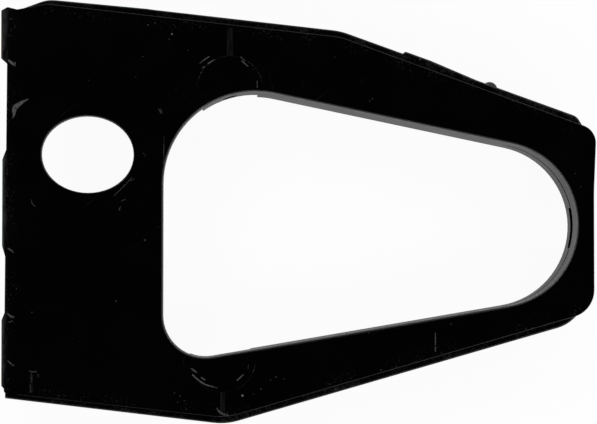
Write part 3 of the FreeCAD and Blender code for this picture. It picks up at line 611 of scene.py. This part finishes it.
def join_short_edges(piece, reach):
    """Join near corners of the opening's edge, so that its rounding passes the bosses' ends."""
    mesh = piece.data
    at_opening = set()
    for ends, faces in face_sides(mesh).items():
        if opening_edge(mesh, ends, faces):
            at_opening.update(ends)
    with edit_mode():
        bpy.ops.mesh.select_mode(type="VERT")
        bpy.ops.mesh.select_all(action="DESELECT")
    for index in at_opening:
        mesh.vertices[index].select = True
    with edit_mode():
        bpy.ops.mesh.remove_doubles(threshold=reach)


def trim_to_bosses(piece, reach):
    """Bring the corners that the rounding leaves at a boss's end back onto the boss's outline."""
    for vertex in piece.data.vertices:
        for boss in BOSSES:
            arm = vertex.co.xy - boss
            at_end = abs(vertex.co.y) < abs(boss.y) + BOSS_END_REACH and vertex.co.z > FACE_Z - TINY
            if at_end and abs(arm.length - BOSS_RADIUS) < reach:
                vertex.co.xy = boss + arm.normalized() * BOSS_RADIUS


def fall_to_tabs(piece, look):
    """Let the face run down into the tabs without a step, as it is worn."""
    start = CAD_LOW.x + TAB_LENGTH + look.end_fall
    with edit_mode():
        for cut in range(1, look.fall_cuts + 1):
            bpy.ops.mesh.select_all(action="SELECT")
            place = (start - cut * look.fall_spacing, 0.0, 0.0)
            bpy.ops.mesh.bisect(plane_co=place, plane_no=(1.0, 0.0, 0.0))
    for vertex in piece.data.vertices:
        if vertex.co.x < start and vertex.co.z > PLATE_CORE_Z:
            worn_z = FACE_Z - (FACE_Z - TAB_Z) * ((start - vertex.co.x) / look.end_fall) ** 2
            if vertex.co.z > TAB_Z - TINY:
                vertex.co.z = worn_z
            else:
                vertex.co.z += (worn_z - TAB_Z) * (vertex.co.z - PLATE_CORE_Z) / (TAB_Z - PLATE_CORE_Z)
    with edit_mode():
        bpy.ops.mesh.select_all(action="SELECT")
        bpy.ops.mesh.remove_doubles(threshold=look.weld)
        bpy.ops.mesh.dissolve_degenerate(threshold=look.weld)


class SLIDER_OT_moulding(bpy.types.Operator):
    """Make the moulded body from the solid: small edge roundings, smooth shading and its plastic"""

    bl_idname = "slider.moulding"
    bl_label = "Moulded body"

    def execute(self, context):
        look = context.scene.slider_moulding
        piece = bpy.data.objects.new("slider_body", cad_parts[NODE].data.copy())
        context.scene.collection.objects.link(piece)
        pick(context, piece)
        with edit_mode():
            bpy.ops.mesh.select_all(action="SELECT")
            bpy.ops.mesh.remove_doubles(threshold=look.weld)
            bpy.ops.mesh.dissolve_limited(angle_limit=look.flat_angle)
        wear_marks(piece, look.mark_wear)
        join_short_edges(piece, look.opening_join)
        round_edges(piece, look.sharp_angle, look.opening_round, look.opening_strips, opening_edge,
                    clamp=False)
        trim_to_bosses(piece, look.boss_trim)
        fall_to_tabs(piece, look)
        round_edges(piece, look.sharp_angle, look.arris, look.arris_strips, plain_edge, clamp=True)
        bpy.ops.object.shade_smooth_by_angle(angle=look.smooth_angle)
        flats = piece.modifiers.new("flats", "WEIGHTED_NORMAL")
        flats.keep_sharp = True
        bpy.ops.object.modifier_apply(modifier=flats.name)
        self.note_wear(piece, look)
        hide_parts(NODE)
        dress(piece, moulded_plastic(look))
        return {"FINISHED"}

    def note_wear(self, piece, look):
        """Note on each face what has happened to it, and where the painted sheen goes."""
        def worn_edge(centre, normal):
            low, high = WORN_EDGE_UPWARD
            return low < normal.z < high and centre.z > SHOULDER_Z - WORN_EDGE_DEPTH

        # Painted sheen: the share of grey on the opening's rounding, more the further it leans towards the
        # wall.
        def opening_brow_sheen(centre, normal):
            low, high = ROUNDED_UPWARD
            inward = normal.xy.dot(OPENING_MIDDLE - centre.xy) > 0.0
            rounded = low < normal.z < high and centre.z > FACE_Z - look.opening_round
            return (1.0 - normal.z) * (inward and rounded and centre.x > OPENING_LEFT)

        def rubbed(centre, normal):
            outward = normal.y * centre.y > 0.0 and abs(normal.y) > LOOKS_OUT
            return outward and abs(centre.y) > STRIP_START and centre.z < SHOULDER_Z

        def wall(centre, normal):
            return abs(normal.z) < WALL_UPWARD

        # Tops of the raised ribs, which get a painted sheen.
        def mark(centre, normal):
            apart = min((centre.xy - boss).length for boss in BOSSES)
            return normal.z > FLAT_TOP and centre.z > FACE_Z + TINY and apart > BOSS_RADIUS

        def upward(centre, normal):
            return normal.z > LOOKS_UP

        for value in (worn_edge, opening_brow_sheen, rubbed, wall, mark, upward):
            face_values(piece, value.__name__, value)


class SLIDER_OT_scuffs(bpy.types.Operator):
    """Lay thin ridges of torn-up plastic along the scuffs on the face"""

    bl_idname = "slider.scuffs"
    bl_label = "Scuffs"

    def execute(self, context):
        body = bpy.data.objects["slider_body"]
        wear = context.scene.slider_scuffs
        ridges = [self.ridge(context, wear, wear.spread, tone, points) for tone, points in SCUFFS]
        ridges += [self.ridge(context, wear, 1.0, tone, self.fleck(wear, *place)) for tone, *place in FLECKS]
        pick(context, *ridges)
        bpy.ops.object.join()
        piece = context.object
        piece.name = "scuff_ridges"
        with edit_mode():
            bpy.ops.mesh.select_all(action="SELECT")
            bpy.ops.transform.resize(value=(1.0, 1.0, wear.flatness), center_override=(0.0, 0.0, 0.0))
            bpy.ops.mesh.normals_make_consistent(inside=False)
        for vertex in piece.data.vertices:
            vertex.co.z += self.surface(body, vertex.co)
        bpy.ops.object.shade_smooth()
        dress(piece, body.data.materials[0])
        return {"FINISHED"}

    def surface(self, body, point):
        """Height of the body under a point."""
        above = Vector((point.x, point.y, CAD_HIGH.z + CLEAR_ABOVE))
        found, place, *_ = body.ray_cast(above, (0.0, 0.0, -1.0))
        if not found or place.z < SHOULDER_Z:
            raise RuntimeError(f"no face under the scuff at {point.x:.4f}, {point.y:.4f}")
        return place.z

    def fleck(self, wear, x, y, degrees):
        """Points of a short straight scuff, in mm."""
        reach = wear.fleck_length / MM / 2
        width = wear.fleck_width / MM
        along_x = reach * math.cos(math.radians(degrees))
        along_y = reach * math.sin(math.radians(degrees))
        return (x - along_x, y - along_y, width), (x + along_x, y + along_y, width)

    def ridge(self, context, wear, spread, tone, points):
        """One tapered ridge, lying at height 0. Its knots carry its real radius, so the bevel depth is 1."""
        start_clean(context)
        bpy.ops.curve.primitive_nurbs_path_add()
        line = context.object
        line.data.splines.clear()
        spline = line.data.splines.new("NURBS")
        spline.points.add(len(points) - 1)
        for knot, (x, y, width) in zip(spline.points, points):
            knot.co = (x * MM, y * MM, 0.0, 1.0)
            knot.radius = spread * width * MM / 2
        spline.order_u = min(wear.order, len(points))
        spline.use_endpoint_u = True
        spline.resolution_u = wear.resolution
        line.data.bevel_depth = 1.0
        line.data.bevel_resolution = wear.roundness
        line.data.use_fill_caps = True
        bpy.ops.object.convert(target="MESH")
        ridge = context.object
        face_values(ridge, "scuffed", lambda centre, normal: tone)
        return ridge


def paper(stage):
    """White paper that stays white to the camera and in reflections, and keeps a soft shadow."""
    material = bpy.data.materials.new("white_paper")
    nodes = Nodes(material)
    rays = nodes.add("ShaderNodeLightPath")
    seen = nodes.maths("MAXIMUM", rays.outputs["Is Camera Ray"], rays.outputs["Is Glossy Ray"])
    seen = nodes.maths("MAXIMUM", seen, rays.outputs["Is Transmission Ray"])
    share = nodes.product(seen, stage.white_share)
    sheet = nodes.add("ShaderNodeBsdfDiffuse", {"Color": opaque(stage.white)})
    glow = nodes.add("ShaderNodeEmission", {"Color": WHITE, "Strength": 1.0})
    surface = nodes.add("ShaderNodeMixShader", {0: share, 1: sheet.outputs[0], 2: glow.outputs[0]})
    nodes.add("ShaderNodeOutputMaterial", {"Surface": surface.outputs[0]})
    return material


class SLIDER_OT_stage(bpy.types.Operator):
    """Set up the white floor and backdrop, the light and the camera above"""

    bl_idname = "slider.stage"
    bl_label = "Table and light"

    def execute(self, context):
        stage = context.scene.slider_stage
        white = paper(stage)
        start_clean(context)
        bpy.ops.mesh.primitive_plane_add(size=stage.floor_size, location=(0.0, 0.0, -TINY))
        floor = context.object
        floor.name = "floor"
        start_clean(context)
        bpy.ops.mesh.primitive_cylinder_add(
            vertices=stage.wall_sides, radius=stage.wall_radius, depth=stage.wall_height,
            end_fill_type="NOTHING", location=(0.0, 0.0, stage.wall_height / 2))
        wall = context.object
        wall.name = "backdrop"
        for item in (floor, wall):
            item.data.materials.append(white)
        self.lamps(context, stage)
        self.room(context, stage)
        self.camera(context, stage)
        return {"FINISHED"}

    def lamps(self, context, stage):
        """Square lamps round the table, each turned to the middle."""
        for number in range(stage.lamps):
            turn = stage.first_lamp + math.tau * number / stage.lamps
            place = Vector((math.cos(turn), math.sin(turn), 0.0)) * stage.lamp_distance
            place.z = stage.lamp_height
            start_clean(context)
            bpy.ops.object.light_add(type="AREA", location=place)
            lamp = context.object
            lamp.name = f"lamp_{number}"
            lamp.data.shape = "SQUARE"
            lamp.data.size = stage.lamp_size
            lamp.data.energy = stage.lamp_power
            lamp.rotation_euler = (-place).to_track_quat("-Z", "Y").to_euler()

    def room(self, context, stage):
        """Bright walls all round and a dark ceiling, so that the face stays black from above."""
        world = bpy.data.worlds.new("studio")
        nodes = Nodes(world)
        direction = nodes.add("ShaderNodeTexCoord").outputs["Generated"]
        height = nodes.add("ShaderNodeSeparateXYZ", {0: direction}).outputs["Z"]
        low = math.sin(stage.band_top - stage.band_fade / 2)
        high = math.sin(stage.band_top + stage.band_fade / 2)
        level = nodes.mix(nodes.ramp(height, low, high), stage.band_level, stage.ceiling)
        light = nodes.add("ShaderNodeBackground", {"Color": WHITE, "Strength": level})
        nodes.add("ShaderNodeOutputWorld", {"Surface": light.outputs[0]})
        context.scene.world = world
        context.scene.view_settings.view_transform = "Standard"

    def camera(self, context, stage):
        """Almost straight above, where the photograph's upright edges run together."""
        start_clean(context)
        place = (stage.camera_x, stage.camera_y, stage.camera_z)
        turn = (stage.camera_pitch, -stage.camera_yaw, stage.camera_roll)
        bpy.ops.object.camera_add(location=place, rotation=turn)
        camera = context.object
        camera.data.sensor_width = stage.sensor
        camera.data.lens = stage.lens
        camera.data.clip_end = stage.view_end
        context.scene.camera = camera


class SLIDER_PT_sidebar(bpy.types.Panel):
    """Buttons and sizes of the chain slider"""

    bl_idname = "SLIDER_PT_sidebar"
    bl_label = "Chain slider"
    bl_space_type = "VIEW_3D"
    bl_region_type = "UI"
    bl_category = "Chain slider"

    def draw(self, context):
        scene = context.scene
        groups = (
            (scene.slider_moulding, SLIDER_OT_moulding),
            (scene.slider_scuffs, SLIDER_OT_scuffs),
            (scene.slider_stage, SLIDER_OT_stage),
        )
        for group, operator in groups:
            box = self.layout.box()
            for name in group.__annotations__:
                box.prop(group, name)
            box.operator(operator.bl_idname)


GROUPS = {"slider_moulding": SliderMoulding, "slider_scuffs": SliderScuffs, "slider_stage": SliderStage}
CLASSES = (*GROUPS.values(), SLIDER_OT_moulding, SLIDER_OT_scuffs, SLIDER_OT_stage, SLIDER_PT_sidebar)


def register():
    for item in CLASSES:
        bpy.utils.register_class(item)
    for name, group in GROUPS.items():
        setattr(bpy.types.Scene, name, bpy.props.PointerProperty(type=group))


def unregister():
    for name in GROUPS:
        delattr(bpy.types.Scene, name)
    for item in reversed(CLASSES):
        bpy.utils.unregister_class(item)


def main():
    register()
    bpy.ops.slider.moulding()
    bpy.ops.slider.scuffs()
    bpy.ops.slider.stage()


if __name__ == "__main__":
    main()
